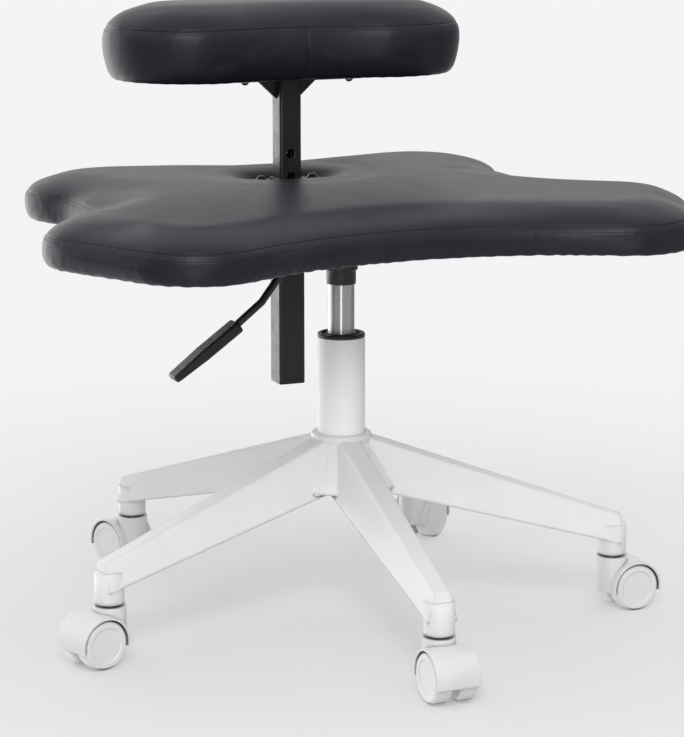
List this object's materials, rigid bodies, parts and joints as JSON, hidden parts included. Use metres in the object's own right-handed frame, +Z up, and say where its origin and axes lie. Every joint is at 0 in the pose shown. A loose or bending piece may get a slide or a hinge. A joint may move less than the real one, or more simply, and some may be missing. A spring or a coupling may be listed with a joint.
{
  "type": "cross-legged office chair",
  "caption": "Swivel chair with a four-lobed lower seat for folded legs and a bean-shaped perch on a height-adjustable post behind it, on a gas lift and a caster star base.",
  "frame": {"origin": "on the floor under the column's axis", "axes": "+Z up, +Y towards the perch behind the sitter, +X to the sitter's left"},
  "size_m": [0.6967, 0.6432, 0.6365],
  "materials": {
    "nylon_white": "satin moulded nylon",
    "caster_white": "satin moulded nylon",
    "wheel_white": "satin moulded nylon",
    "painted_white": "satin powder coat",
    "black_plastic": "fine-grained moulded plastic",
    "chrome": "polished chrome",
    "bright_steel": "zinc-plated",
    "black_zinc": "black zinc plating",
    "black_steel": "semi-gloss black powder coat",
    "plywood": "bare plywood",
    "leather": "matte black leather cloth over foam"
  },
  "bodies": {
    "base": {"star_base": "nylon_white", "column_tube": "painted_white", "guide_bush": "black_plastic", "lower_race": "bright_steel", "bearing_balls": "bright_steel"},
    "piston": {"piston_rod": "bright_steel", "piston_head": "black_plastic", "upper_race": "bright_steel", "retaining_clip": "bright_steel"},
    "seat": {"lift_cylinder": "chrome", "rod_guide": "black_plastic", "taper_socket": "black_steel", "seat_plate": "black_steel", "plate_bolts": "bright_steel", "tee_nuts": "bright_steel", "lever_pin": "bright_steel", "seat_board": "plywood", "seat_cushion": "leather", "post_sleeve": "black_steel", "sleeve_flange": "black_steel", "flange_bolts": "black_zinc", "flange_nuts": "black_zinc", "lock_nut": "black_zinc"},
    "lever": {"release_lever": "black_steel", "lever_grip": "black_plastic"},
    "button": {"valve_button": "bright_steel"},
    "lock": {"lock_screw": "bright_steel", "lock_knob": "black_plastic"},
    "perch": {"perch_post": "black_steel", "post_plug": "black_plastic", "perch_plate": "black_steel", "perch_gussets": "black_steel", "perch_screws": "bright_steel", "perch_board": "plywood", "perch_cushion": "leather"},
    "caster_1": {"caster_hood_1": "caster_white", "caster_stem_1": "bright_steel", "caster_axle_1": "bright_steel"},
    "wheel_left_1": {"wheel_left_1": "wheel_white"},
    "wheel_right_1": {"wheel_right_1": "wheel_white"},
    "caster_2": {"caster_hood_2": "caster_white", "caster_stem_2": "bright_steel", "caster_axle_2": "bright_steel"},
    "wheel_left_2": {"wheel_left_2": "wheel_white"},
    "wheel_right_2": {"wheel_right_2": "wheel_white"},
    "caster_3": {"caster_hood_3": "caster_white", "caster_stem_3": "bright_steel", "caster_axle_3": "bright_steel"},
    "wheel_left_3": {"wheel_left_3": "wheel_white"},
    "wheel_right_3": {"wheel_right_3": "wheel_white"},
    "caster_4": {"caster_hood_4": "caster_white", "caster_stem_4": "bright_steel", "caster_axle_4": "bright_steel"},
    "wheel_left_4": {"wheel_left_4": "wheel_white"},
    "wheel_right_4": {"wheel_right_4": "wheel_white"},
    "caster_5": {"caster_hood_5": "caster_white", "caster_stem_5": "bright_steel", "caster_axle_5": "bright_steel"},
    "wheel_left_5": {"wheel_left_5": "wheel_white"},
    "wheel_right_5": {"wheel_right_5": "wheel_white"}
  },
  "joints": [
    {"name": "seat_swivel", "type": "hinge", "parent": "base", "child": "piston", "pos_m": [0, 0, 0.14], "axis": [0, 0, 1], "continuous": true},
    {"name": "seat_lift", "type": "slide", "parent": "piston", "child": "seat", "axis": [0, 0, 1], "range_m": [-0.046, 0.052]},
    {"name": "lever_lift", "type": "hinge", "parent": "seat", "child": "lever", "pos_m": [-0.038, 0, 0.3915], "axis": [0, 1, 0], "range_deg": [0, 4], "stiffness_Nm_per_rad": 1},
    {"name": "valve_press", "type": "slide", "parent": "seat", "child": "button", "axis": [0, 0, 1], "range_m": [-0.003, 0]},
    {"name": "perch_height", "type": "slide", "parent": "seat", "child": "perch", "axis": [0, 0, 1], "range_m": [-0.085, 0.058]},
    {"name": "lock_turn", "type": "hinge", "parent": "seat", "child": "lock", "pos_m": [0, 0.168, 0.385], "axis": [0, 1, 0], "continuous": true},
    {"name": "caster_swivel_1", "type": "hinge", "parent": "base", "child": "caster_1", "pos_m": [0.18609, 0.22177, 0.06], "axis": [0, 0, 1], "continuous": true},
    {"name": "wheel_left_spin_1", "type": "hinge", "parent": "caster_1", "child": "wheel_left_1", "pos_m": [0.20227, 0.23353, 0.025], "axis": [-0.5878, 0.809, 0], "continuous": true},
    {"name": "wheel_right_spin_1", "type": "hinge", "parent": "caster_1", "child": "wheel_right_1", "pos_m": [0.20227, 0.23353, 0.025], "axis": [-0.5878, 0.809, 0], "continuous": true},
    {"name": "caster_swivel_2", "type": "hinge", "parent": "base", "child": "caster_2", "pos_m": [-0.15341, 0.24551, 0.06], "axis": [0, 0, 1], "continuous": true},
    {"name": "wheel_left_spin_2", "type": "hinge", "parent": "caster_2", "child": "wheel_left_2", "pos_m": [-0.1609, 0.26405, 0.025], "axis": [-0.9272, -0.3746, 0], "continuous": true},
    {"name": "wheel_right_spin_2", "type": "hinge", "parent": "caster_2", "child": "wheel_right_2", "pos_m": [-0.1609, 0.26405, 0.025], "axis": [-0.9272, -0.3746, 0], "continuous": true},
    {"name": "caster_swivel_3", "type": "hinge", "parent": "base", "child": "caster_3", "pos_m": [-0.2809, -0.07004, 0.06], "axis": [0, 0, 1], "continuous": true},
    {"name": "wheel_left_spin_3", "type": "hinge", "parent": "caster_3", "child": "wheel_left_3", "pos_m": [-0.29992, -0.07622, 0.025], "axis": [0.309, -0.9511, 0], "continuous": true},
    {"name": "wheel_right_spin_3", "type": "hinge", "parent": "caster_3", "child": "wheel_right_3", "pos_m": [-0.29992, -0.07622, 0.025], "axis": [0.309, -0.9511, 0], "continuous": true},
    {"name": "caster_swivel_4", "type": "hinge", "parent": "base", "child": "caster_4", "pos_m": [-0.02019, -0.2888, 0.06], "axis": [0, 0, 1], "continuous": true},
    {"name": "wheel_left_spin_4", "type": "hinge", "parent": "caster_4", "child": "wheel_left_4", "pos_m": [-0.02054, -0.30879, 0.025], "axis": [0.9998, -0.0175, 0], "continuous": true},
    {"name": "wheel_right_spin_4", "type": "hinge", "parent": "caster_4", "child": "wheel_right_4", "pos_m": [-0.02054, -0.30879, 0.025], "axis": [0.9998, -0.0175, 0], "continuous": true},
    {"name": "caster_swivel_5", "type": "hinge", "parent": "base", "child": "caster_5", "pos_m": [0.26842, -0.10845, 0.06], "axis": [0, 0, 1], "continuous": true},
    {"name": "wheel_left_spin_5", "type": "hinge", "parent": "caster_5", "child": "wheel_left_5", "pos_m": [0.28842, -0.10845, 0.025], "axis": [0, 1, 0], "continuous": true},
    {"name": "wheel_right_spin_5", "type": "hinge", "parent": "caster_5", "child": "wheel_right_5", "pos_m": [0.28842, -0.10845, 0.025], "axis": [0, 1, 0], "continuous": true}
  ],
  "couplings": [
    {"joint": "valve_press", "follows": "lever_lift", "m_per_rad": -0.038}
  ]
}
